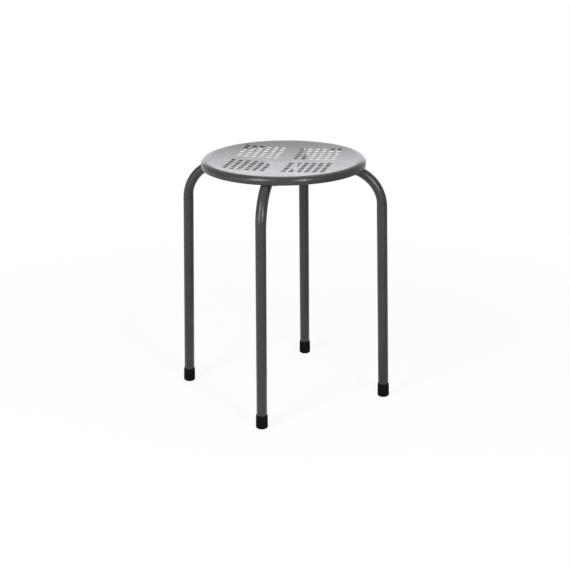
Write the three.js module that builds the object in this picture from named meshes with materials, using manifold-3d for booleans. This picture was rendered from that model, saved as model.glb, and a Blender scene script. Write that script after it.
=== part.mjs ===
// A round stacking stool: a dished, perforated steel seat on brackets, bolted to four bent tube legs.
// Millimetres and degrees, +Z up. The origin lies on the floor under the middle of the seat.
// The legs stand on the axes: right +X, rear +Y, left -X, front -Y.

import * as THREE from 'three';
import { mergeVertices } from 'three/addons/utils/BufferGeometryUtils.js';
import Module from 'manifold-3d';

const wasm = await Module();
wasm.setup();

// The whole stool
const stoolHeight = 450;          // floor to the crest of the rim
const seatDiameter = 298;         // over the skirt
const legOverhang = 31.9;         // from the skirt out to the middle of a leg, where its bend ends
const legSplay = 1.5;             // lean of a leg, foot outwards
const runRise = 4.1;              // slope of a leg's upper run, rising outwards
const touchGap = 0.3;             // left between pieces that touch
const cutOverrun = 2;             // how far a cutting body stands past what it cuts
const mergeShare = 0.001;         // points closer than this share of the gap are one

// Seat pan, pressed from one sheet
const sheetThickness = 0.6;
const dishDepth = 5.6;            // crest of the rim down to the middle of the dish
const rimCorner = 8;             // outer radius between dish and skirt
const skirtClearance = 0.5;       // lower edge of the skirt above the legs

// Holes of the seat, four square blocks between the solid bands
const holeSide = 8;
const holePitch = 13.8;
const bandWidth = 29.9;
const holeRimMargin = 4;          // least metal between a hole and the rim's corner
const holesPerSide = 6;

// Legs
const tubeDiameter = 19;
const tubeWall = 1.2;
const bendRadius = 69.5;          // to the middle of the tube
const bendCrush = 1.4;            // how far the inner side of the bend is pressed flat
const bendSpread = 0.4;           // how far each flank of the bend stands out for that
const tubeEndRadius = 27.5;       // inner end of a leg from the middle of the seat

// Brackets, channels between the seat and the legs
const bracketThickness = 1.5;
const bracketWidth = 26;
const bracketHeight = 2.1;        // at the outer end
const bracketInnerMargin = 6.5;   // past the inner studs
const bracketOuterMargin = 13;    // past the outer studs

// Cross plate, welded under the inner ends of the legs
const plateThickness = 2;
const plateWidth = 26;
const plateEndMargin = 1;         // left before the inner washers
const plateCornerCut = 5;
const plateFold = 1;              // how far an arm starts inside the hub

// Studs, saddle washers and nuts
const studDiameter = 6;
const studEndDistance = 20;       // inner studs from the inner end of a leg
const studSpacing = 23.5;         // inner to outer studs
const studStickOut = 1;           // below the nut
const studClearance = 0.3;        // round the stud, in the tube, the washer and the nut
const washerDiameter = 14;
const washerThickness = 1.5;      // at its thinnest, under the tube
const washerWrap = 2;             // how far it reaches up beside the tube
const nutWidth = 10;              // across the flats
const nutHeight = 5;

// Foot caps
const capHeight = 25;
const capWall = 0.8;              // round the tube, at the lip
const capFlare = 0.3;             // how far the base stands out past the lip
const capBaseThickness = 4;
const capEdgeRadius = 3.5;
const capLipRadius = 0.5;

// Counts and facets
const legNames = ['right', 'rear', 'left', 'front'];
const seatSides = 60;
const dishRings = 2;
const cornerSteps = 6;
const tubeSides = 16;
const bendSteps = 12;
const capSides = 20;
const capEdgeSteps = 2;
const boltSides = 10;
const washerSides = 16;
const saddleSides = 32;

// Sizes that follow from the ones above
const radians = THREE.MathUtils.degToRad;
const seatRadius = seatDiameter / 2;
const tubeRadius = tubeDiameter / 2;
const dishRadius = seatRadius - rimCorner;
const splay = radians(legSplay);
const splayTan = Math.tan(splay);
const run = radians(runRise);
const runTan = Math.tan(run);

// The brackets hang from the dish at their outer ends, and the legs' upper runs lie against them.
// bracketBottom is the height at which their sloping undersides would meet the middle of the seat.
const studRadii = { inner: tubeEndRadius + studEndDistance };
studRadii.outer = studRadii.inner + studSpacing;
const bracketStart = studRadii.inner - bracketInnerMargin;
const bracketEnd = studRadii.outer + bracketOuterMargin;
const bracketBottom = dishUnderAt(bracketEnd) - touchGap - bracketHeight - bracketEnd * runTan;
const bendCentreX = seatRadius + legOverhang - bendRadius * Math.cos(splay);
const bendCentreZ = bracketBottom + bendCentreX * runTan
  - (bendRadius + tubeRadius + touchGap) / Math.cos(run);

// Height of the top of a leg's bend at a distance from the middle of the seat
function bendTopAt(radius) {
  return bendCentreZ + Math.sqrt((bendRadius + tubeRadius) ** 2 - (radius - bendCentreX) ** 2);
}
const skirtBottom = bendTopAt(seatRadius - sheetThickness) + skirtClearance;

// Where a leg's middle line meets the floor, and the lengths of its two straight runs
const bendEndZ = bendCentreZ + bendRadius * Math.sin(splay);
const footRadius = seatRadius + legOverhang + bendEndZ * splayTan;
const upperLength = (bendCentreX - tubeEndRadius) / Math.cos(run) - bendRadius * runTan;
const lowerLength = (bendEndZ - capBaseThickness - touchGap) / Math.cos(splay);

// Depths under the brackets, square to them
const tubeAxisDepth = touchGap + tubeRadius;
const washerTopDepth = tubeAxisDepth + tubeRadius + touchGap;
const washerBottomDepth = washerTopDepth + washerThickness;
const nutTopDepth = washerBottomDepth + touchGap;
const nutBottomDepth = nutTopDepth + nutHeight;
const studEndDepth = nutBottomDepth + studStickOut;
const studBore = studDiameter / 2 + studClearance;

// The cross plate lies under the legs; its heights are those of its arms' faces at the middle of the seat
const plateHalf = plateWidth / 2;
const plateReach = studRadii.inner - washerDiameter / 2 - plateEndMargin;
const plateDepth = plateThickness / Math.cos(run);
const plateBottom = bracketBottom - washerTopDepth / Math.cos(run) - plateDepth;

// Foot caps
const capBore = tubeRadius + touchGap;
const capTopRadius = capBore + capWall;
const capBaseRadius = capTopRadius + capFlare;

// Finishes
const darkCoat = new THREE.MeshStandardMaterial({ color: 0x3b3d40, roughness: 0.42, metalness: 0.25 });
const zinc = new THREE.MeshStandardMaterial({ color: 0xb4b7ba, roughness: 0.35, metalness: 0.9 });
const blackRubber = new THREE.MeshStandardMaterial({ color: 0x121212, roughness: 0.7, metalness: 0 });

// Turns a closed three.js geometry into a solid, with its faces pointing outwards
function solid(geometry) {
  const bare = geometry.clone();
  bare.deleteAttribute('normal');
  bare.deleteAttribute('uv');
  const merged = mergeVertices(bare, touchGap * mergeShare);
  const index = Uint32Array.from(merged.index.array);
  const vertices = Float32Array.from(merged.attributes.position.array);
  if (volumeOf(vertices, index) < 0) {
    index.reverse();
  }
  return new wasm.Manifold(new wasm.Mesh({ numProp: 3, vertProperties: vertices, triVerts: index }));
}

// Signed volume of a triangle mesh, positive if its faces point outwards
function volumeOf(vertices, index) {
  const corners = [new THREE.Vector3(), new THREE.Vector3(), new THREE.Vector3()];
  let volume = 0;
  for (let i = 0; i < index.length; i += 3) {
    corners.forEach((corner, k) => corner.fromArray(vertices, 3 * index[i + k]));
    volume += corners[0].dot(corners[1].clone().cross(corners[2])) / 6;
  }
  return volume;
}

// Turns a solid back into a geometry with flat faces
function geometryOf(body) {
  const mesh = body.getMesh();
  const geometry = new THREE.BufferGeometry();
  geometry.setAttribute('position', new THREE.BufferAttribute(mesh.vertProperties, 3));
  geometry.setIndex(new THREE.BufferAttribute(mesh.triVerts, 1));
  const flat = geometry.toNonIndexed();
  flat.computeVertexNormals();
  return flat;
}

// A body of revolution about Z from a closed list of [radius, height] points
function turned(points, sides) {
  const profile = points.map(([radius, height]) => new THREE.Vector2(radius, height));
  return new THREE.LatheGeometry(profile, sides).rotateX(Math.PI / 2);
}

// A round bar along Z between two heights
function bar(radius, low, high, sides) {
  return turned([[0, low], [radius, low], [radius, high], [0, high]], sides);
}

// A round arc as [radius, height] points, from one angle to another in degrees
function arc(centre, radius, from, to, steps) {
  return Array.from({ length: steps + 1 }, (_, i) => {
    const angle = radians(from + (to - from) * i / steps);
    return [centre[0] + radius * Math.cos(angle), centre[1] + radius * Math.sin(angle)];
  });
}

// Heights of the dish's upper and lower faces
function dishTopAt(radius) {
  return stoolHeight - dishDepth * (1 - (radius / dishRadius) ** 2);
}
function dishUnderAt(radius) {
  return dishTopAt(radius) - sheetThickness;
}

// The seat pan: dish, rounded rim and skirt, with square holes in four blocks
function seatPan() {
  const cornerCentre = [dishRadius, stoolHeight - rimCorner];
  const rings = Array.from({ length: dishRings }, (_, i) => dishRadius * i / dishRings);
  const upper = rings.map((radius) => [radius, dishTopAt(radius)]);
  const lower = rings.map((radius) => [radius, dishUnderAt(radius)]);
  const profile = [
    ...upper,
    ...arc(cornerCentre, rimCorner, 90, 0, cornerSteps),
    [seatRadius, skirtBottom],
    [seatRadius - sheetThickness, skirtBottom],
    ...arc(cornerCentre, rimCorner - sheetThickness, 0, 90, cornerSteps),
    ...lower.reverse(),
  ];
  const pan = solid(turned(profile, seatSides));
  return geometryOf(holePlaces().reduce((cut, place) => cut.subtract(holeCutter(place)), pan));
}

// Middles of the holes, leaving out any that would run into the rim's corner
function holePlaces() {
  const steps = Array.from({ length: holesPerSide }, (_, i) => (bandWidth + holeSide) / 2 + holePitch * i);
  const line = [...steps.map((step) => -step), ...steps];
  const farthest = dishRadius - holeRimMargin;
  return line.flatMap((x) => line.map((y) => [x, y]))
    .filter(([x, y]) => Math.hypot(Math.abs(x) + holeSide / 2, Math.abs(y) + holeSide / 2) < farthest);
}

function holeCutter([x, y]) {
  const depth = dishDepth + sheetThickness + 2 * cutOverrun;
  const middle = stoolHeight - (dishDepth + sheetThickness) / 2;
  return solid(new THREE.BoxGeometry(holeSide, holeSide, depth).translate(x, y, middle));
}

// A bracket along +X: a channel whose web lies on the leg and whose flanges reach up to the dish
function bracket() {
  const webTop = bracketBottom + bracketThickness / Math.cos(run);
  const channel = bracketBlock(bracketStart, bracketEnd, bracketBottom, -touchGap, bracketWidth);
  const hollow = bracketBlock(bracketStart - cutOverrun, bracketEnd + cutOverrun, webTop, cutOverrun,
    bracketWidth - 2 * bracketThickness);
  return geometryOf(channel.subtract(hollow));
}

// A block between two distances from the seat's middle. Its lower face slopes as the legs' upper runs do,
// from a height at the seat's middle, and its upper face is set off by a distance from the dish.
function bracketBlock(start, end, bottom, offset, width) {
  const outline = new THREE.Shape([
    new THREE.Vector2(start, bottom + start * runTan),
    new THREE.Vector2(end, bottom + end * runTan),
    new THREE.Vector2(end, dishUnderAt(end) + offset),
    new THREE.Vector2(start, dishUnderAt(start) + offset),
  ]);
  const block = new THREE.ExtrudeGeometry(outline, { depth: width, bevelEnabled: false });
  return solid(block.rotateX(Math.PI / 2).translate(0, width / 2, 0));
}

// The cross plate: a flat hub and four arms that rise outwards under the legs
function crossPlate() {
  const hub = new THREE.BoxGeometry(plateWidth, plateWidth, plateDepth)
    .translate(0, 0, plateBottom + plateHalf * runTan + plateDepth / 2);
  const arms = legNames.map((_, i) => plateArm().rotateZ(i * Math.PI / 2));
  return geometryOf(arms.reduce((plate, arm) => plate.add(solid(arm)), solid(hub)));
}

// One arm of the cross plate, towards +X, with its inner end inside the hub
function plateArm() {
  const outline = new THREE.Shape([
    new THREE.Vector2(plateHalf - plateFold, -plateHalf),
    new THREE.Vector2(plateReach - plateCornerCut, -plateHalf),
    new THREE.Vector2(plateReach, plateCornerCut - plateHalf),
    new THREE.Vector2(plateReach, plateHalf - plateCornerCut),
    new THREE.Vector2(plateReach - plateCornerCut, plateHalf),
    new THREE.Vector2(plateHalf - plateFold, plateHalf),
  ]);
  const arm = new THREE.ExtrudeGeometry(outline, { depth: plateDepth, bevelEnabled: false });
  const position = arm.attributes.position;
  for (let i = 0; i < position.count; i += 1) {
    position.setZ(i, position.getZ(i) + plateBottom + position.getX(i) * runTan);
  }
  return arm;
}

// The middle line of a leg in the plane of its bend: upper run, bend, then the splayed leg
class LegLine extends THREE.Curve {
  // A station u from 0 to 1 takes one step for each straight run and bendSteps for the bend
  bendShare(u) {
    const step = u * (bendSteps + 2);
    return THREE.MathUtils.clamp((step - 1) / bendSteps, 0, 1);
  }

  angleAt(u) {
    return THREE.MathUtils.lerp(Math.PI / 2 + run, splay, this.bendShare(u));
  }

  getPoint(u) {
    const step = u * (bendSteps + 2);
    const angle = this.angleAt(u);
    const point = new THREE.Vector3(
      bendCentreX + bendRadius * Math.cos(angle), 0, bendCentreZ + bendRadius * Math.sin(angle));
    const before = Math.max(1 - step, 0);
    const after = Math.max(step - 1 - bendSteps, 0);
    point.addScaledVector(this.getTangentAt(u), after * lowerLength - before * upperLength);
    return point;
  }

  getPointAt(u) {
    return this.getPoint(u);
  }

  getTangentAt(u) {
    const angle = this.angleAt(u);
    return new THREE.Vector3(Math.sin(angle), 0, -Math.cos(angle));
  }
}

// One leg, a hollow tube whose bend is pressed flat on its inner side, with holes for its studs
function leg() {
  const section = new THREE.Shape().absarc(0, 0, tubeRadius, 0, 2 * Math.PI);
  section.holes.push(new THREE.Path().absarc(0, 0, tubeRadius - tubeWall, 0, 2 * Math.PI));
  const tube = new THREE.ExtrudeGeometry(section, {
    extrudePath: new LegLine(), steps: bendSteps + 2, curveSegments: tubeSides / 2, bevelEnabled: false,
  });
  crushBend(tube.attributes.position);
  const bores = Object.values(studRadii).map((radius) => {
    const bore = bar(studBore, -2 * tubeAxisDepth - cutOverrun, cutOverrun, boltSides);
    return solid(underBracket(bore, radius));
  });
  return geometryOf(bores.reduce((body, bore) => body.subtract(bore), solid(tube)));
}

// Presses the inner side of the bend towards its middle line and spreads its flanks, but not at its ends
function crushBend(position) {
  const halfStep = (Math.PI / 2 + run - splay) / bendSteps / 2;
  for (let i = 0; i < position.count; i += 1) {
    const fromX = position.getX(i) - bendCentreX;
    const fromZ = position.getZ(i) - bendCentreZ;
    const reach = Math.hypot(fromX, fromZ);
    const angle = Math.atan2(fromZ, fromX);
    if (angle > splay + halfStep && angle < Math.PI / 2 + run - halfStep) {
      const inward = Math.max(bendRadius - reach, 0) / tubeRadius;
      const grown = (reach + bendCrush * inward ** 2) / reach;
      position.setX(i, bendCentreX + fromX * grown);
      position.setZ(i, bendCentreZ + fromZ * grown);
      position.setY(i, position.getY(i) * (1 + bendSpread / tubeRadius));
    }
  }
}

// Sets a geometry drawn about Z square to a bracket's underside, at a distance from the seat's middle
function underBracket(geometry, radius) {
  return geometry.rotateY(-run).translate(radius, 0, bracketBottom + radius * runTan);
}

// A stud, welded end up
function stud(radius) {
  return underBracket(bar(studDiameter / 2, -studEndDepth, -touchGap, boltSides), radius);
}

// A washer with a hollow upper face for the round tube and a flat lower face for the nut
function saddleWasher(radius) {
  const low = -washerBottomDepth;
  const high = washerWrap - washerTopDepth;
  const blank = bar(washerDiameter / 2, low, high, washerSides);
  const saddle = bar(tubeRadius + touchGap, -washerDiameter, washerDiameter, saddleSides)
    .rotateY(Math.PI / 2).translate(0, 0, -tubeAxisDepth);
  const bore = bar(studBore, low - cutOverrun, high + cutOverrun, boltSides);
  const washer = solid(blank).subtract(solid(saddle)).subtract(solid(bore));
  return underBracket(geometryOf(washer), radius);
}

// A hexagon nut
function nut(radius) {
  const corner = nutWidth / 2 / Math.cos(Math.PI / 6);
  const blank = bar(corner, -nutBottomDepth, -nutTopDepth, 6);
  const bore = bar(studBore, -nutBottomDepth - cutOverrun, cutOverrun - nutTopDepth, boltSides);
  return underBracket(geometryOf(solid(blank).subtract(solid(bore))), radius);
}

// A foot cap, leaning with its leg and cut level with the floor
function footCap() {
  const lean = capBaseRadius * splayTan;
  const edgeCentre = [capBaseRadius - capEdgeRadius, capEdgeRadius - lean];
  const lipCentre = [capTopRadius - capLipRadius, capHeight - capLipRadius];
  const profile = [
    [0, -lean],
    ...arc(edgeCentre, capEdgeRadius, -90, 0, capEdgeSteps),
    ...arc(lipCentre, capLipRadius, 0, 90, capEdgeSteps),
    [capBore, capHeight],
    [capBore, capBaseThickness],
    [0, capBaseThickness],
  ];
  const leaning = turned(profile, capSides).rotateY(-splay).translate(footRadius, 0, 0);
  const floor = new THREE.BoxGeometry(4 * capBaseRadius, 4 * capBaseRadius, cutOverrun)
    .translate(footRadius, 0, -cutOverrun / 2);
  return geometryOf(solid(leaning).subtract(solid(floor)));
}

function named(name, geometry, material) {
  const mesh = new THREE.Mesh(geometry, material);
  mesh.name = name;
  return mesh;
}

// Everything that belongs to one leg, in a group that is turned to its side
function legStation(side, turn, shapes) {
  const station = new THREE.Group();
  station.rotation.z = turn;
  station.add(named(`leg_${side}`, shapes.leg, darkCoat));
  station.add(named(`seat_bracket_${side}`, shapes.bracket, darkCoat));
  station.add(named(`foot_cap_${side}`, shapes.footCap, blackRubber));
  for (const [where, fastener] of Object.entries(shapes.fasteners)) {
    station.add(named(`stud_${side}_${where}`, fastener.stud, zinc));
    station.add(named(`saddle_washer_${side}_${where}`, fastener.saddleWasher, zinc));
    station.add(named(`nut_${side}_${where}`, fastener.nut, zinc));
  }
  return station;
}

const fasteners = Object.fromEntries(Object.entries(studRadii).map(([where, radius]) => [
  where, { stud: stud(radius), saddleWasher: saddleWasher(radius), nut: nut(radius) },
]));
const shapes = { leg: leg(), bracket: bracket(), footCap: footCap(), fasteners };

const stool = new THREE.Group();
stool.add(named('seat_pan', seatPan(), darkCoat));
stool.add(named('cross_plate', crossPlate(), darkCoat));
legNames.forEach((side, i) => stool.add(legStation(side, i * Math.PI / 2, shapes)));

export default stool;
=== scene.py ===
import math

import bmesh
import bpy
from mathutils import Matrix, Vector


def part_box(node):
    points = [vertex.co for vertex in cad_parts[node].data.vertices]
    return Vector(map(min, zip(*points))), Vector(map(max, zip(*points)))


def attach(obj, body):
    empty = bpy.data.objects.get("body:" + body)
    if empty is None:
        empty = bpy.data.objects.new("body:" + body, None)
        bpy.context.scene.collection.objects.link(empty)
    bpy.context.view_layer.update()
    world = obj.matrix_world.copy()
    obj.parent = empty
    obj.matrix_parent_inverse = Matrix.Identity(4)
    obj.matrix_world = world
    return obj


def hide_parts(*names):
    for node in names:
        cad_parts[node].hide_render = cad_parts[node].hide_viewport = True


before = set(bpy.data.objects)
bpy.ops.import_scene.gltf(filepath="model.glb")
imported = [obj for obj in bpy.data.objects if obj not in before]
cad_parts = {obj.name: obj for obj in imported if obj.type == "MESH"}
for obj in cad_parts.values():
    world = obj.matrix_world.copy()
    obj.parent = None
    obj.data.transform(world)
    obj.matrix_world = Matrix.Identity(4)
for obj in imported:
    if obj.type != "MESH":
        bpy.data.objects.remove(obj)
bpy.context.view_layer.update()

# Sizes in metres, the same as in the part's source, and angles in radians
MM = 0.001
STOOL_HEIGHT = 450 * MM
SEAT_RADIUS = 149 * MM
LEG_OVERHANG = 31.9 * MM
LEG_SPLAY = math.radians(1.5)
RUN_RISE = math.radians(4.1)
TOUCH_GAP = 0.3 * MM
LEG_TURNS = {"right": 0, "rear": 90, "left": 180, "front": 270}

SHEET = 0.6 * MM
DISH_DEPTH = 5.6 * MM
DISH_CUTS = 5
RIM_CORNER = 8 * MM
RIM_STEPS = 9
HOLE_SIDE = 8 * MM
HOLE_PITCH = 13.8 * MM
HOLES_PER_SIDE = 6
HOLE_CORNER = 0.9 * MM
HOLE_CORNER_STEPS = 2
BLOCK_EDGE_CUTS = 3
BAND_WIDTH = 29.9 * MM
SHEET_EDGE = 0.1 * MM

TUBE_RADIUS = 9.5 * MM
TUBE_WALL = 1.2 * MM
TUBE_SIDES = 40
TUBE_EDGE = 0.2 * MM
TUBE_END_RADIUS = 27.5 * MM
BEND_RADIUS = 69.5 * MM
BEND_CRUSH = 1.4 * MM
BEND_SPREAD = 0.4 * MM
BEND_STEPS = 28
BEND_FADE_SHARE = 1 / 6

BRACKET_THICKNESS = 1.5 * MM
BRACKET_HALF = 13 * MM
BRACKET_HEIGHT = 2.1 * MM
BRACKET_INNER_MARGIN = 6.5 * MM
BRACKET_OUTER_MARGIN = 13 * MM
BRACKET_FOLD = 1.8 * MM
BRACKET_FOLD_STEPS = 4
BRACKET_STEPS = 8
BRACKET_EDGE = 0.2 * MM

PLATE_THICKNESS = 2 * MM
PLATE_HALF = 13 * MM
PLATE_END_MARGIN = 1 * MM
PLATE_CORNER_CUT = 5 * MM
PLATE_EDGE = 0.3 * MM

STUD_RADIUS = 3 * MM
STUD_SIDES = 24
STUD_END_DISTANCE = 20 * MM
STUD_SPACING = 23.5 * MM
STUD_STICK_OUT = 1 * MM
STUD_CLEARANCE = 0.3 * MM
STUD_TIP_DEPTH = 0.8 * MM
STUD_TIP_LENGTH = 0.4 * MM
STUD_NECK_LENGTH = 0.5 * MM
THREAD_PITCH = 1 * MM
THREAD_DEPTH = 0.45 * MM
THREAD_LENGTH = 10 * MM
THREAD_CREST_SHARES = 0.4, 0.55

WASHER_RADIUS = 7 * MM
WASHER_THICKNESS = 1.5 * MM
WASHER_WRAP = 2 * MM
WASHER_SIDES = 40
WASHER_HOLLOW_SIDES = 64
WASHER_EDGE = 0.25 * MM

NUT_WIDTH = 10 * MM
NUT_HEIGHT = 5 * MM
NUT_FACE_MARGIN = 0.1 * MM
NUT_TURNED_ANGLE = math.radians(30)
NUT_CHAMFER = 0.5 * MM
NUT_SIDES = 6
NUT_TURNED_SIDES = 48
NUT_EDGE = 0.12 * MM
BORE_SIDES = 32

CAP_HEIGHT = 25 * MM
CAP_WALL = 0.8 * MM
CAP_FLARE = 0.3 * MM
CAP_BASE_THICKNESS = 4 * MM
CAP_EDGE_RADIUS = 3.5 * MM
CAP_EDGE_STEPS = 6
CAP_LIP_RADIUS = 0.5 * MM
CAP_LIP_STEPS = 4
CAP_SIDES = 48
CAP_EDGE = 0.15 * MM

# How near counts as the same place when cutting and when choosing, and how far a cutter runs past
CLOSE = 0.001 * MM
NEAR = 0.01 * MM
HOLE_NEAR = 0.1 * MM
CUT_OVERRUN = 1 * MM

# The camera, fitted to the outlines in the photograph
CAMERA_PLACE = 0.5301, -2.3733, 1.0268
CAMERA_TURN = math.radians(14.579)
CAMERA_TILT = math.radians(69.102)
CAMERA_ROLL = math.radians(-1.077)
LENS_MM = 86.597
SENSOR_MM = 36
LENS_SHIFT = 0.0789, 0.0965

# What follows from the sizes, as in the part
dish_radius = SEAT_RADIUS - RIM_CORNER
run_slope = math.tan(RUN_RISE)


def dish_top(radius):
    """Height of the dish's upper face."""
    return STOOL_HEIGHT - DISH_DEPTH * (1 - (radius / dish_radius) ** 2)


def dish_under(radius):
    """Height of the dish's lower face."""
    return dish_top(radius) - SHEET


block_start = (BAND_WIDTH + HOLE_SIDE - HOLE_PITCH) / 2
block_end = block_start + HOLES_PER_SIDE * HOLE_PITCH
skirt_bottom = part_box("seat_pan")[0].z

stud_places = {"inner": TUBE_END_RADIUS + STUD_END_DISTANCE}
stud_places["outer"] = stud_places["inner"] + STUD_SPACING
bracket_start = stud_places["inner"] - BRACKET_INNER_MARGIN
bracket_end = stud_places["outer"] + BRACKET_OUTER_MARGIN
bracket_bottom = dish_under(bracket_end) - TOUCH_GAP - BRACKET_HEIGHT - bracket_end * run_slope

bend_x = SEAT_RADIUS + LEG_OVERHANG - BEND_RADIUS * math.cos(LEG_SPLAY)
bend_z = (
    bracket_bottom + bend_x * run_slope
    - (BEND_RADIUS + TUBE_RADIUS + TOUCH_GAP) / math.cos(RUN_RISE)
)
bend_angle = math.pi / 2 + RUN_RISE - LEG_SPLAY
bend_end_z = bend_z + BEND_RADIUS * math.sin(LEG_SPLAY)
foot_radius = SEAT_RADIUS + LEG_OVERHANG + bend_end_z * math.tan(LEG_SPLAY)

# Depths under the brackets, square to them
tube_depth = TOUCH_GAP + TUBE_RADIUS
washer_top = tube_depth + TUBE_RADIUS + TOUCH_GAP
washer_bottom = washer_top + WASHER_THICKNESS
nut_top = washer_bottom + TOUCH_GAP
nut_bottom = nut_top + NUT_HEIGHT
stud_end = nut_bottom + STUD_STICK_OUT
bore_radius = STUD_RADIUS + STUD_CLEARANCE

plate_reach = stud_places["inner"] - WASHER_RADIUS - PLATE_END_MARGIN
plate_top = bracket_bottom - washer_top / math.cos(RUN_RISE)
saddle_radius = TUBE_RADIUS + TOUCH_GAP
cap_top_radius = saddle_radius + CAP_WALL
cap_base_radius = cap_top_radius + CAP_FLARE


# Modelling, as at the bench

def take_up(name):
    """Names the primitive just added, puts its place in its mesh, and opens it for editing."""
    piece = bpy.context.object
    piece.name = piece.data.name = name
    bpy.ops.object.transform_apply(location=True, rotation=True, scale=True)
    bpy.ops.object.mode_set(mode="EDIT")
    return piece


def put_down(piece):
    """Closes the edited mesh."""
    bpy.ops.object.mode_set(mode="OBJECT")
    return piece


def choose(piece, kind, test):
    """Selects only the vertices, edges or faces of the open mesh that pass a test."""
    bpy.ops.mesh.select_mode(type={"verts": "VERT", "edges": "EDGE", "faces": "FACE"}[kind])
    bpy.ops.mesh.select_all(action="DESELECT")
    mesh = bmesh.from_edit_mesh(piece.data)
    for element in getattr(mesh, kind):
        if test(element):
            element.select_set(True)
    bmesh.update_edit_mesh(piece.data)


def choose_all():
    """Selects the whole open mesh."""
    bpy.ops.mesh.select_all(action="SELECT")


def divide(place, normal):
    """Cuts new edges into the whole open mesh where a plane crosses it."""
    choose_all()
    bpy.ops.mesh.bisect(plane_co=place, plane_no=normal, threshold=CLOSE)


def face_outwards():
    """Turns all faces of the open mesh the same way, outwards where it has an outside."""
    choose_all()
    bpy.ops.mesh.normals_make_consistent(inside=False)


def draw_out(move, scale=1.0):
    """Extrudes what is selected by a move, then scales it about the Z axis."""
    bpy.ops.mesh.extrude_region_move(TRANSFORM_OT_translate={"value": move})
    if scale != 1.0:
        bpy.ops.transform.resize(value=(scale, scale, 1), center_override=(0, 0, 0))


def through_rings(rings):
    """Draws the selected ring out through [radius, height] rings, the first of which is where it is."""
    for (radius, height), (new_radius, new_height) in zip(rings, rings[1:]):
        draw_out((0, 0, new_height - height), new_radius / radius)


def turned(name, rings, sides):
    """A round piece about Z with flat ends, drawn up from a disc through its rings."""
    radius, height = rings[0]
    bpy.ops.mesh.primitive_circle_add(
        vertices=sides, radius=radius, fill_type="NGON", location=(0, 0, height))
    piece = take_up(name)
    choose_all()
    through_rings(rings)
    face_outwards()
    return put_down(piece)


def finish_with(piece, kind, **settings):
    """Adds a modifier with its settings and applies it."""
    bpy.ops.object.select_all(action="DESELECT")
    piece.select_set(True)
    bpy.context.view_layer.objects.active = piece
    modifier = piece.modifiers.new(kind.title(), kind)
    for key, value in settings.items():
        setattr(modifier, key, value)
    bpy.ops.object.modifier_apply(modifier=modifier.name)


def thicken(piece, thickness):
    """Gives an open sheet its thickness, on the side that its faces look away from."""
    finish_with(piece, "SOLIDIFY", thickness=thickness, offset=-1, use_even_offset=True)


def cut(piece, cutter, operation="DIFFERENCE"):
    """Cuts a piece with another, or keeps what they share, and throws the cutter away."""
    finish_with(piece, "BOOLEAN", operation=operation, object=cutter, solver="EXACT")
    bpy.data.objects.remove(cutter)


def soften(piece, width, segments=2, angle=35):
    """Rounds the edges of a piece that are sharper than an angle in degrees."""
    finish_with(piece, "BEVEL", width=width, segments=segments, limit_method="ANGLE",
                angle_limit=math.radians(angle))
    bpy.ops.object.shade_smooth_by_angle(angle=math.radians(angle))


def arc(centre, radius, start, end, steps):
    """[radius, height] points of a round arc between two angles in degrees."""
    angles = [math.radians(start + (end - start) * i / steps) for i in range(steps + 1)]
    return [(centre[0] + radius * math.cos(a), centre[1] + radius * math.sin(a)) for a in angles]


# Seat pan

def punch_holes(pan):
    """Divides the sheet into cells of one hole each, and opens a square hole in each cell."""
    steps = [block_start + HOLE_PITCH * i for i in range(HOLES_PER_SIDE)]
    for place in [0, *steps, *[-step for step in steps]]:
        for axis in ((1, 0, 0), (0, 1, 0)):
            divide([place * a for a in axis], axis)
    in_block = lambda face: min(abs(c) for c in face.calc_center_median().xy) > block_start
    choose(pan, "faces", in_block)
    bpy.ops.mesh.inset(
        thickness=(HOLE_PITCH - HOLE_SIDE) / 2, use_individual=True, use_even_offset=True)
    hole = lambda face: in_block(face) and abs(face.calc_area() - HOLE_SIDE ** 2) < HOLE_NEAR ** 2
    choose(pan, "verts", lambda vert: any(hole(face) for face in vert.link_faces))
    bpy.ops.mesh.bevel(offset=HOLE_CORNER, segments=HOLE_CORNER_STEPS, affect="VERTICES")
    hole_corners = 4 * (HOLE_CORNER_STEPS + 1)
    choose(pan, "faces", lambda face: len(face.verts) == hole_corners)
    bpy.ops.mesh.delete(type="FACE")


def widen_to_rim(pan):
    """Draws the square sheet's edge out to a circle at the foot of the rounded rim."""
    at_edge = lambda vert: max(abs(vert.co.x), abs(vert.co.y)) > block_end - NEAR
    choose(pan, "edges", lambda edge: edge.is_boundary and all(map(at_edge, edge.verts)))
    bpy.ops.mesh.subdivide(number_cuts=BLOCK_EDGE_CUTS, ngon=True)
    bpy.ops.mesh.extrude_region_move()
    bpy.ops.transform.tosphere(value=1.0)
    round_now = max(vert.co.xy.length for vert in bmesh.from_edit_mesh(pan.data).verts if vert.select)
    grow = dish_radius / round_now
    bpy.ops.transform.resize(value=(grow, grow, 1), center_override=(0, 0, 0))


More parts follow.
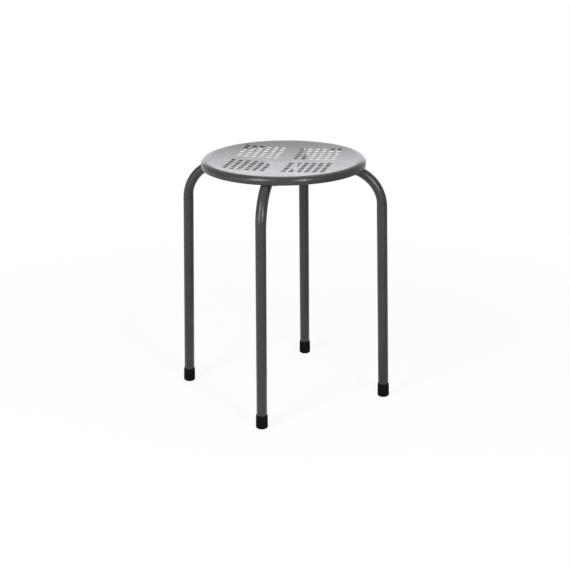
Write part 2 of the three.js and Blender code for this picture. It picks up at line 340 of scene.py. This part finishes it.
def seat_pan():
    """One pressed sheet: perforated dish, rounded rim and skirt."""
    bpy.ops.mesh.primitive_plane_add(size=2 * block_end, location=(0, 0, STOOL_HEIGHT))
    pan = take_up("seat_pan_pressed")
    punch_holes(pan)
    widen_to_rim(pan)
    on_rim = lambda vert: vert.co.xy.length > dish_radius - NEAR
    choose(pan, "edges", lambda edge: on_rim(edge.verts[0]) != on_rim(edge.verts[1]))
    bpy.ops.mesh.subdivide(number_cuts=DISH_CUTS)
    for vert in bmesh.from_edit_mesh(pan.data).verts:
        vert.co.z = dish_top(vert.co.xy.length)
    bmesh.update_edit_mesh(pan.data)
    choose(pan, "edges", lambda edge: edge.is_boundary and all(map(on_rim, edge.verts)))
    rim = arc((dish_radius, STOOL_HEIGHT - RIM_CORNER), RIM_CORNER, 90, 0, RIM_STEPS)
    skirt_middle = (rim[-1][1] + skirt_bottom) / 2
    through_rings([*rim, (SEAT_RADIUS, skirt_middle), (SEAT_RADIUS, skirt_bottom)])
    face_outwards()
    put_down(pan)
    if pan.data.polygons[0].normal.z < 0:
        pan.data.flip_normals()
    thicken(pan, SHEET)
    soften(pan, SHEET_EDGE)
    return pan


# Legs

def leg():
    """A tube drawn out under the seat, bent once, and drawn down to the floor."""
    bpy.ops.mesh.primitive_circle_add(
        vertices=TUBE_SIDES, radius=TUBE_RADIUS, rotation=(0, math.pi / 2 - RUN_RISE, 0))
    tube = take_up("leg_tube")
    bend_start = (bend_x - BEND_RADIUS * math.sin(RUN_RISE), bend_z + BEND_RADIUS * math.cos(RUN_RISE))
    upper = (bend_x - TUBE_END_RADIUS) / math.cos(RUN_RISE) - BEND_RADIUS * run_slope
    forward = (math.cos(RUN_RISE), 0, math.sin(RUN_RISE))
    start = (bend_start[0] - upper * forward[0], 0, bend_start[1] - upper * forward[2])
    choose_all()
    bpy.ops.transform.translate(value=start)
    draw_out([upper * f for f in forward])
    bpy.ops.mesh.spin(
        steps=BEND_STEPS, angle=bend_angle, center=(bend_x, 0, bend_z), axis=(0, -1, 0))
    lower = (bend_end_z - CAP_BASE_THICKNESS - TOUCH_GAP) / math.cos(LEG_SPLAY)
    draw_out((lower * math.sin(LEG_SPLAY), 0, -lower * math.cos(LEG_SPLAY)))
    press_bend(tube)
    choose_all()
    bpy.ops.mesh.remove_doubles(threshold=NEAR)
    bpy.ops.mesh.normals_make_consistent(inside=False)
    put_down(tube)
    if outside_in(tube):
        tube.data.flip_normals()
    thicken(tube, TUBE_WALL)
    for place in stud_places.values():
        bore = turned("bore", [(bore_radius, -2 * tube_depth), (bore_radius, TUBE_RADIUS)], STUD_SIDES)
        cut(tube, under_bracket(bore, place))
    soften(tube, TUBE_EDGE)
    return tube


def outside_in(tube):
    """Whether the faces of an open tube look towards its own middle line at its lower end."""
    face = min(tube.data.polygons, key=lambda f: f.center.z)
    return face.normal.x * (face.center.x - foot_radius) + face.normal.y * face.center.y < 0


def press_bend(tube):
    """Presses the inner side of the bend flatter and spreads its flanks, fading out at its ends."""
    for vert in bmesh.from_edit_mesh(tube.data).verts:
        x, z = vert.co.x - bend_x, vert.co.z - bend_z
        share = (math.atan2(z, x) - LEG_SPLAY) / bend_angle
        if 0 < share < 1 and x > -TUBE_RADIUS:
            fade = min(1, share / BEND_FADE_SHARE, (1 - share) / BEND_FADE_SHARE)
            reach = math.hypot(x, z)
            inward = max(BEND_RADIUS - reach, 0) / TUBE_RADIUS
            grown = (reach + fade * BEND_CRUSH * inward ** 2) / reach
            vert.co.x = bend_x + x * grown
            vert.co.z = bend_z + z * grown
            vert.co.y *= 1 + fade * BEND_SPREAD / TUBE_RADIUS
    bmesh.update_edit_mesh(tube.data)


# Foot caps

def foot_cap():
    """A cap with a rounded base and lip, leaning with its leg and cut level with the floor."""
    lean = cap_base_radius * math.tan(LEG_SPLAY)
    edge_centre = (cap_base_radius - CAP_EDGE_RADIUS, CAP_EDGE_RADIUS - lean)
    lip_centre = (cap_top_radius - CAP_LIP_RADIUS, CAP_HEIGHT - CAP_LIP_RADIUS)
    rings = [
        *arc(edge_centre, CAP_EDGE_RADIUS, -90, 0, CAP_EDGE_STEPS),
        *arc(lip_centre, CAP_LIP_RADIUS, 0, 90, CAP_LIP_STEPS),
        (saddle_radius, CAP_HEIGHT), (saddle_radius, CAP_BASE_THICKNESS),
    ]
    cap = turned("foot_cap_moulded", rings, CAP_SIDES)
    cap.data.transform(Matrix.Translation((foot_radius, 0, 0)) @ Matrix.Rotation(-LEG_SPLAY, 4, "Y"))
    bpy.ops.object.mode_set(mode="EDIT")
    choose_all()
    bpy.ops.mesh.bisect(
        plane_co=(0, 0, 0), plane_no=(0, 0, 1), use_fill=True, clear_inner=True, threshold=CLOSE)
    put_down(cap)
    soften(cap, CAP_EDGE, angle=50)
    return cap


# Brackets between the seat and the legs

def seat_bracket():
    """A pressed channel: its web lies on the leg, and its flanges reach up to the dish."""
    length = bracket_end - bracket_start
    middle = (bracket_start + bracket_end) / 2
    bpy.ops.mesh.primitive_plane_add(size=length, location=(middle, 0, 0))
    bracket = take_up("seat_bracket_pressed")
    choose_all()
    bpy.ops.transform.resize(value=(1, 2 * BRACKET_HALF / length, 1), center_override=(middle, 0, 0))
    for i in range(1, BRACKET_STEPS):
        divide((bracket_start + length * i / BRACKET_STEPS, 0, 0), (1, 0, 0))
    on_fold = lambda vert: abs(vert.co.y) > BRACKET_HALF - CLOSE and vert.co.z < CLOSE
    fold_edge = lambda edge: all(map(on_fold, edge.verts))
    choose(bracket, "edges", fold_edge)
    draw_out((0, 0, BRACKET_HEIGHT))
    choose(bracket, "edges", fold_edge)
    for vert in bmesh.from_edit_mesh(bracket.data).verts:
        if vert.co.z < CLOSE:
            vert.co.z = bracket_bottom + vert.co.x * run_slope
        else:
            vert.co.z = dish_under(vert.co.x) - TOUCH_GAP
    bpy.ops.mesh.bevel(offset=BRACKET_FOLD, segments=BRACKET_FOLD_STEPS, affect="EDGES")
    face_outwards()
    put_down(bracket)
    web = min(bracket.data.polygons, key=lambda face: abs(face.center.y) + abs(face.center.x - middle))
    if web.normal.z > 0:
        bracket.data.flip_normals()
    thicken(bracket, BRACKET_THICKNESS)
    soften(bracket, BRACKET_EDGE)
    return bracket


# Cross plate

def cross_plate():
    """A pressed cross under the legs: a flat hub and four rising arms with cut corners."""
    hub_z = plate_top + PLATE_HALF * run_slope
    bpy.ops.mesh.primitive_plane_add(size=2 * PLATE_HALF, location=(0, 0, hub_z))
    plate = take_up("cross_plate_pressed")
    arm = plate_reach - PLATE_CORNER_CUT - PLATE_HALF
    end_width_share = 1 - PLATE_CORNER_CUT / PLATE_HALF
    for turn in LEG_TURNS.values():
        out, side, up = Matrix.Rotation(math.radians(turn), 3, "Z").col
        middle = lambda edge: (edge.verts[0].co + edge.verts[1].co) / 2
        choose(plate, "edges", lambda edge: (
            middle(edge).dot(out) > PLATE_HALF - CLOSE and abs(middle(edge).dot(side)) < CLOSE))
        for length in (arm, PLATE_CORNER_CUT):
            draw_out(out * length + up * length * run_slope)
        sizes = [end_width_share if abs(axis) < 0.5 else 1 for axis in out]
        bpy.ops.transform.resize(value=(sizes[0], sizes[1], 1), center_override=(0, 0, 0))
    put_down(plate)
    if plate.data.polygons[0].normal.z < 0:
        plate.data.flip_normals()
    thicken(plate, PLATE_THICKNESS)
    soften(plate, PLATE_EDGE, segments=3, angle=30)
    return plate


# Studs, washers and nuts, drawn about Z and set square to the brackets

def under_bracket(piece, radius):
    """Sets a piece drawn about Z square under a bracket, at a distance from the seat's middle."""
    piece.data.transform(
        Matrix.Translation((radius, 0, bracket_bottom + radius * run_slope))
        @ Matrix.Rotation(-RUN_RISE, 4, "Y"))
    return piece


def stud():
    """A welded stud with its thread cut in rings and a chamfered end."""
    root = STUD_RADIUS - THREAD_DEPTH
    thread_start = -stud_end + STUD_TIP_LENGTH
    rings = [(STUD_RADIUS - STUD_TIP_DEPTH, -stud_end), (root, thread_start)]
    for i in range(round(THREAD_LENGTH / THREAD_PITCH)):
        low = thread_start + i * THREAD_PITCH
        rings += [(STUD_RADIUS, low + share * THREAD_PITCH) for share in THREAD_CREST_SHARES]
        rings.append((root, low + THREAD_PITCH))
    rings += [(STUD_RADIUS, rings[-1][1] + STUD_NECK_LENGTH), (STUD_RADIUS, -TOUCH_GAP)]
    piece = turned("stud_welded", rings, STUD_SIDES)
    bpy.ops.object.shade_smooth_by_angle(angle=math.radians(30))
    return piece


def saddle_washer():
    """A washer with a hollow upper face for the round tube."""
    low, high = -washer_bottom, WASHER_WRAP - washer_top
    washer = turned("saddle_washer_pressed", [(WASHER_RADIUS, low), (WASHER_RADIUS, high)], WASHER_SIDES)
    reach = 2 * WASHER_RADIUS
    hollow = turned("hollow", [(saddle_radius, -reach), (saddle_radius, reach)], WASHER_HOLLOW_SIDES)
    hollow.data.transform(Matrix.Translation((0, 0, -tube_depth)) @ Matrix.Rotation(math.pi / 2, 4, "Y"))
    cut(washer, hollow)
    bore = [(bore_radius, low - CUT_OVERRUN), (bore_radius, high + CUT_OVERRUN)]
    cut(washer, turned("bore", bore, BORE_SIDES))
    soften(washer, WASHER_EDGE)
    return washer


def nut():
    """A hexagon nut with turned-off corners and a countersunk bore."""
    low, high = -nut_bottom, -nut_top
    corner = NUT_WIDTH / 2 / math.cos(math.pi / NUT_SIDES)
    flat = NUT_WIDTH / 2 - NUT_FACE_MARGIN
    drop = (corner - flat) * math.tan(NUT_TURNED_ANGLE)
    turned_radius = corner + 2 * NUT_FACE_MARGIN
    wide = bore_radius + NUT_CHAMFER
    piece = turned("nut_hexagon", [(corner, low), (corner, high)], NUT_SIDES)
    body = [(flat, low), (turned_radius, low + drop), (turned_radius, high - drop), (flat, high)]
    cut(piece, turned("turning", body, NUT_TURNED_SIDES), "INTERSECT")
    bore = [(wide, low - NEAR), (bore_radius, low + NUT_CHAMFER),
            (bore_radius, high - NUT_CHAMFER), (wide, high + NEAR)]
    cut(piece, turned("bore", bore, BORE_SIDES))
    soften(piece, NUT_EDGE, angle=25)
    return piece


# Finishes

# Sockets by number, where Blender gives several of a node's sockets the same name
FROM_MIN, FROM_MAX, TO_MIN, TO_MAX = 1, 2, 3, 4
FACTOR, NUMBER_A, NUMBER_B, COLOUR_A, COLOUR_B = 0, 2, 3, 6, 7
NUMBER_RESULT, COLOUR_RESULT = 0, 2

# How far the roughness varies from cloud to cloud
CLOUD_ROUGHNESS = 0.12


def node_group(name, inputs, outputs):
    """An empty shader node group with named inputs and outputs."""
    group = bpy.data.node_groups.new(name, "ShaderNodeTree")
    for socket, kind, value in inputs:
        group.interface.new_socket(socket, in_out="INPUT", socket_type=kind).default_value = value
    for socket, kind in outputs:
        group.interface.new_socket(socket, in_out="OUTPUT", socket_type=kind)
    return group, group.nodes.new("NodeGroupInput"), group.nodes.new("NodeGroupOutput")


def add_node(tree, kind, values=None, **settings):
    """A node with its settings, and with its input sockets set by name or number."""
    node = tree.nodes.new(kind)
    for key, value in settings.items():
        setattr(node, key, value)
    for socket, value in (values or {}).items():
        node.inputs[socket].default_value = value
    return node


def fine_texture():
    """The small even unevenness of a coated or moulded surface, as a height."""
    group, take, give = node_group(
        "fine_texture",
        [("Vector", "NodeSocketVector", (0, 0, 0)), ("Grain Scale", "NodeSocketFloat", 900.0),
         ("Wave Scale", "NodeSocketFloat", 250.0), ("Wave Share", "NodeSocketFloat", 0.5)],
        [("Height", "NodeSocketFloat")])
    link = group.links.new
    grain = add_node(group, "ShaderNodeTexNoise", {"Detail": 2.0, "Roughness": 0.5})
    wave = add_node(group, "ShaderNodeTexNoise", {"Detail": 1.0, "Roughness": 0.4})
    mix = add_node(group, "ShaderNodeMix", data_type="FLOAT")
    for texture, scale in ((grain, "Grain Scale"), (wave, "Wave Scale")):
        link(take.outputs["Vector"], texture.inputs["Vector"])
        link(take.outputs[scale], texture.inputs["Scale"])
    link(take.outputs["Wave Share"], mix.inputs[FACTOR])
    link(grain.outputs["Fac"], mix.inputs[NUMBER_A])
    link(wave.outputs["Fac"], mix.inputs[NUMBER_B])
    link(mix.outputs[NUMBER_RESULT], give.inputs["Height"])
    return group


def handling():
    """Soft clouds and a few fine rubs from handling, as masks from 0 to 1."""
    group, take, give = node_group(
        "handling",
        [("Vector", "NodeSocketVector", (0, 0, 0)), ("Cloud Scale", "NodeSocketFloat", 25.0),
         ("Rub Scale", "NodeSocketFloat", 120.0)],
        [("Clouds", "NodeSocketFloat"), ("Rubs", "NodeSocketFloat")])
    link = group.links.new
    clouds = add_node(group, "ShaderNodeTexNoise", {"Detail": 3.0, "Roughness": 0.55})
    stretch = add_node(
        group, "ShaderNodeMapping", {"Rotation": (0.4, 0.3, 0.7), "Scale": (1.0, 9.0, 3.0)})
    rubs = add_node(group, "ShaderNodeTexNoise", {"Detail": 4.0, "Roughness": 0.7})
    keep = add_node(group, "ShaderNodeMapRange", {FROM_MIN: 0.62, FROM_MAX: 0.8})
    link(take.outputs["Vector"], clouds.inputs["Vector"])
    link(take.outputs["Cloud Scale"], clouds.inputs["Scale"])
    link(take.outputs["Vector"], stretch.inputs["Vector"])
    link(stretch.outputs["Vector"], rubs.inputs["Vector"])
    link(take.outputs["Rub Scale"], rubs.inputs["Scale"])
    link(rubs.outputs["Fac"], keep.inputs["Value"])
    link(clouds.outputs["Fac"], give.inputs["Clouds"])
    link(keep.outputs["Result"], give.inputs["Rubs"])
    return group


texture_group = fine_texture()
handling_group = handling()


def finish(name, dark, light, rough, rough_rubbed, relief, grain, wave, wave_share, clouds, rubs,
           **fixed):
    """A finish whose colour and roughness vary a little, over a fine texture."""
    material = bpy.data.materials.new(name)
    material.use_nodes = True
    tree = material.node_tree
    link = tree.links.new
    shader = tree.nodes["Principled BSDF"]
    for socket, value in fixed.items():
        shader.inputs[socket.replace("_", " ")].default_value = value
    place = add_node(tree, "ShaderNodeTexCoord")
    texture = add_node(tree, "ShaderNodeGroup", node_tree=texture_group)
    marks = add_node(tree, "ShaderNodeGroup", node_tree=handling_group)
    for socket, value in (("Grain Scale", grain), ("Wave Scale", wave), ("Wave Share", wave_share)):
        texture.inputs[socket].default_value = value
    for socket, value in (("Cloud Scale", clouds), ("Rub Scale", rubs)):
        marks.inputs[socket].default_value = value
    for group in (texture, marks):
        link(place.outputs["Object"], group.inputs["Vector"])
    colour = add_node(
        tree, "ShaderNodeMix", {COLOUR_A: (*dark, 1), COLOUR_B: (*light, 1)}, data_type="RGBA")
    link(marks.outputs["Clouds"], colour.inputs[FACTOR])
    link(colour.outputs[COLOUR_RESULT], shader.inputs["Base Color"])
    sheen = add_node(tree, "ShaderNodeMapRange", {TO_MIN: rough, TO_MAX: rough_rubbed})
    link(marks.outputs["Rubs"], sheen.inputs["Value"])
    uneven = add_node(
        tree, "ShaderNodeMath", {1: CLOUD_ROUGHNESS, 2: -CLOUD_ROUGHNESS / 2}, operation="MULTIPLY_ADD")
    link(marks.outputs["Clouds"], uneven.inputs[0])
    total = add_node(tree, "ShaderNodeMath", operation="ADD")
    link(sheen.outputs["Result"], total.inputs[0])
    link(uneven.outputs[0], total.inputs[1])
    link(total.outputs[0], shader.inputs["Roughness"])
    bump = add_node(tree, "ShaderNodeBump", {"Strength": 1.0, "Distance": relief})
    link(texture.outputs["Height"], bump.inputs["Height"])
    link(bump.outputs["Normal"], shader.inputs["Normal"])
    return material


powder_coat = finish(
    "satin_dark_coat", dark=(0.024, 0.024, 0.025), light=(0.031, 0.031, 0.032),
    rough=0.25, rough_rubbed=0.27, relief=0.004 * MM, grain=1400.0, wave=420.0, wave_share=0.6,
    clouds=30.0, rubs=60.0, IOR=1.39)
rubber = finish(
    "moulded_black_rubber", dark=(0.003, 0.003, 0.003), light=(0.006, 0.006, 0.006),
    rough=0.6, rough_rubbed=0.7, relief=0.03 * MM, grain=2200.0, wave=300.0, wave_share=0.25,
    clouds=60.0, rubs=180.0, IOR=1.45, Specular_IOR_Level=0.03)
zinc = finish(
    "bright_zinc", dark=(0.52, 0.53, 0.55), light=(0.68, 0.68, 0.67),
    rough=0.3, rough_rubbed=0.42, relief=0.008 * MM, grain=3000.0, wave=900.0, wave_share=0.4,
    clouds=200.0, rubs=300.0, Metallic=1.0)


# Putting the stool together

def wear(piece, material, body="root"):
    """Gives a piece its finish and lets it ride on the stool."""
    piece.data.materials.clear()
    piece.data.materials.append(material)
    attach(piece, body)


def at_each_leg(model, node, material):
    """A copy of a piece at each leg, with its own mesh, in place of that leg's CAD node."""
    for side, turn in LEG_TURNS.items():
        copy = model.copy()
        copy.data = model.data.copy()
        copy.data.transform(Matrix.Rotation(math.radians(turn), 4, "Z"))
        copy.name = copy.data.name = f"{model.name}_{side}"
        bpy.context.scene.collection.objects.link(copy)
        wear(copy, material)
        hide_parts(node.format(side=side))
    bpy.data.objects.remove(model)


bpy.ops.object.select_all(action="DESELECT")
pan = seat_pan()
wear(pan, powder_coat)
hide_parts("seat_pan")
plate = cross_plate()
wear(plate, powder_coat)
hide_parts("cross_plate")
at_each_leg(leg(), "leg_{side}", powder_coat)
at_each_leg(seat_bracket(), "seat_bracket_{side}", powder_coat)
at_each_leg(foot_cap(), "foot_cap_{side}", rubber)
for where, place in stud_places.items():
    for make, node in ((stud, "stud"), (saddle_washer, "saddle_washer"), (nut, "nut")):
        piece = under_bracket(make(), place)
        piece.name = f"{piece.name}_{where}"
        at_each_leg(piece, node + "_{side}_" + where, zinc)


# Floor and surroundings

def eye_rays(tree):
    """A mask that is 1 for what the camera sees, also in gloss and through glass, and 0 for light."""
    path = add_node(tree, "ShaderNodeLightPath")
    seen = path.outputs["Is Camera Ray"]
    for ray in ("Is Glossy Ray", "Is Transmission Ray"):
        both = add_node(tree, "ShaderNodeMath", operation="MAXIMUM")
        tree.links.new(seen, both.inputs[0])
        tree.links.new(path.outputs[ray], both.inputs[1])
        seen = both.outputs[0]
    return seen


def side_shade(tree, place, dim, both=False):
    """A level that is 1, and in reflections falls off to dim on the studio's right, or on both sides."""
    link = tree.links.new
    path = add_node(tree, "ShaderNodeLightPath")
    right = (math.cos(CAMERA_TURN), math.sin(CAMERA_TURN), 0)
    aim = add_node(tree, "ShaderNodeVectorMath", operation="NORMALIZE")
    side = add_node(tree, "ShaderNodeVectorMath", {1: right}, operation="DOT_PRODUCT")
    fall = add_node(tree, "ShaderNodeMapRange", {FROM_MIN: 0.25, FROM_MAX: 1.0, TO_MAX: 1 - dim})
    fall.interpolation_type = "SMOOTHSTEP"
    share = add_node(tree, "ShaderNodeMath", operation="MULTIPLY")
    left = add_node(tree, "ShaderNodeMath", {0: 1.0}, operation="SUBTRACT")
    link(place, aim.inputs[0])
    link(aim.outputs["Vector"], side.inputs[0])
    off_middle = side.outputs["Value"]
    if both:
        size = add_node(tree, "ShaderNodeMath", operation="ABSOLUTE")
        link(off_middle, size.inputs[0])
        off_middle = size.outputs[0]
    link(off_middle, fall.inputs["Value"])
    link(fall.outputs["Result"], share.inputs[0])
    link(path.outputs["Is Glossy Ray"], share.inputs[1])
    link(share.outputs[0], left.inputs[1])
    return left.outputs[0]


def studio_paper(colour, near_glow, near, far, dim):
    """Pale paper that takes the object's shadow, and goes over to plain white away from it."""
    material = bpy.data.materials.new("studio_paper")
    material.use_nodes = True
    tree = material.node_tree
    tree.nodes.clear()
    link = tree.links.new
    place = add_node(tree, "ShaderNodeTexCoord")
    away = add_node(tree, "ShaderNodeVectorMath", operation="LENGTH")
    whiter = add_node(
        tree, "ShaderNodeMapRange", {FROM_MIN: near, FROM_MAX: far, TO_MIN: near_glow, TO_MAX: 1.0})
    whiter.interpolation_type = "SMOOTHSTEP"
    share = add_node(tree, "ShaderNodeMath", operation="MULTIPLY")
    paper = add_node(tree, "ShaderNodeBsdfDiffuse", {"Color": (colour, colour, colour, 1)})
    glow = add_node(tree, "ShaderNodeEmission")
    mix = add_node(tree, "ShaderNodeMixShader")
    out = add_node(tree, "ShaderNodeOutputMaterial")
    link(side_shade(tree, place.outputs["Object"], dim), glow.inputs["Strength"])
    link(place.outputs["Object"], away.inputs[0])
    link(away.outputs["Value"], whiter.inputs["Value"])
    link(whiter.outputs["Result"], share.inputs[0])
    link(eye_rays(tree), share.inputs[1])
    link(share.outputs[0], mix.inputs[0])
    link(paper.outputs[0], mix.inputs[1])
    link(glow.outputs[0], mix.inputs[2])
    link(mix.outputs[0], out.inputs["Surface"])
    return material


def surroundings(ambient, dim):
    """A world that is white to the eye and in reflections, and lights the object at a set level."""
    world = bpy.data.worlds.new("studio")
    bpy.context.scene.world = world
    world.use_nodes = True
    tree = world.node_tree
    tree.nodes.clear()
    link = tree.links.new
    level = add_node(tree, "ShaderNodeMapRange", {TO_MIN: ambient, TO_MAX: 1.0})
    back = add_node(tree, "ShaderNodeBackground", {"Color": (1, 1, 1, 1)})
    out = add_node(tree, "ShaderNodeOutputWorld")
    place = add_node(tree, "ShaderNodeTexCoord")
    total = add_node(tree, "ShaderNodeMath", operation="MULTIPLY")
    link(eye_rays(tree), level.inputs["Value"])
    link(level.outputs["Result"], total.inputs[0])
    link(side_shade(tree, place.outputs["Generated"], dim, both=True), total.inputs[1])
    link(total.outputs[0], back.inputs["Strength"])
    link(back.outputs[0], out.inputs["Surface"])


SIDE_DIM = 0.55
bpy.ops.mesh.primitive_plane_add(size=30)
floor = bpy.context.object
floor.name = "studio_floor"
floor.data.materials.append(
    studio_paper(colour=0.85, near_glow=0.9, near=0.3, far=1.2, dim=SIDE_DIM))
surroundings(ambient=0.3, dim=SIDE_DIM)


# Lamps

def softbox(name, azimuth, elevation, distance, width, height, level, colour=(1, 1, 1)):
    """A lamp that faces the seat, at angles from the camera's side; level 1 looks paper white."""
    turn = Matrix.Rotation(math.radians(azimuth) + CAMERA_TURN, 3, "Z")
    away = turn @ Matrix.Rotation(-math.radians(elevation), 3, "X").col[1] * -1
    lamp = bpy.data.lights.new(name, "AREA")
    lamp.shape = "RECTANGLE"
    lamp.size, lamp.size_y = width, height
    lamp.energy = level * math.pi * width * height
    lamp.color = colour
    holder = bpy.data.objects.new(name, lamp)
    holder.location = away * distance
    holder.location.z += STOOL_HEIGHT
    holder.rotation_mode = "QUATERNION"
    holder.rotation_quaternion = away.to_track_quat("Z", "Y")
    holder.visible_camera = False
    bpy.context.scene.collection.objects.link(holder)


softbox("soft_left", azimuth=-38, elevation=28, distance=2.2, width=0.65, height=1.75, level=10.8)
softbox("soft_right", azimuth=25, elevation=20.5, distance=2.2, width=0.4, height=1.05, level=20)
softbox("soft_side", azimuth=-60, elevation=5, distance=2.2, width=1.2, height=0.8, level=2)
softbox("soft_top", azimuth=150, elevation=65, distance=2.2, width=1.6, height=1.6, level=1.1)
softbox("soft_back", azimuth=178, elevation=8.5, distance=3.0, width=3.2, height=0.94, level=1.55,
        colour=(0.91, 0.93, 1.0))

# Camera

scene = bpy.context.scene
scene.view_settings.view_transform = "Standard"
view = bpy.data.cameras.new("camera")
view.sensor_width = SENSOR_MM
view.lens = LENS_MM
view.shift_x, view.shift_y = LENS_SHIFT
camera = bpy.data.objects.new("camera", view)
camera.matrix_world = (
    Matrix.Translation(CAMERA_PLACE) @ Matrix.Rotation(CAMERA_TURN, 4, "Z")
    @ Matrix.Rotation(CAMERA_TILT, 4, "X") @ Matrix.Rotation(CAMERA_ROLL, 4, "Z"))
scene.collection.objects.link(camera)
scene.camera = camera
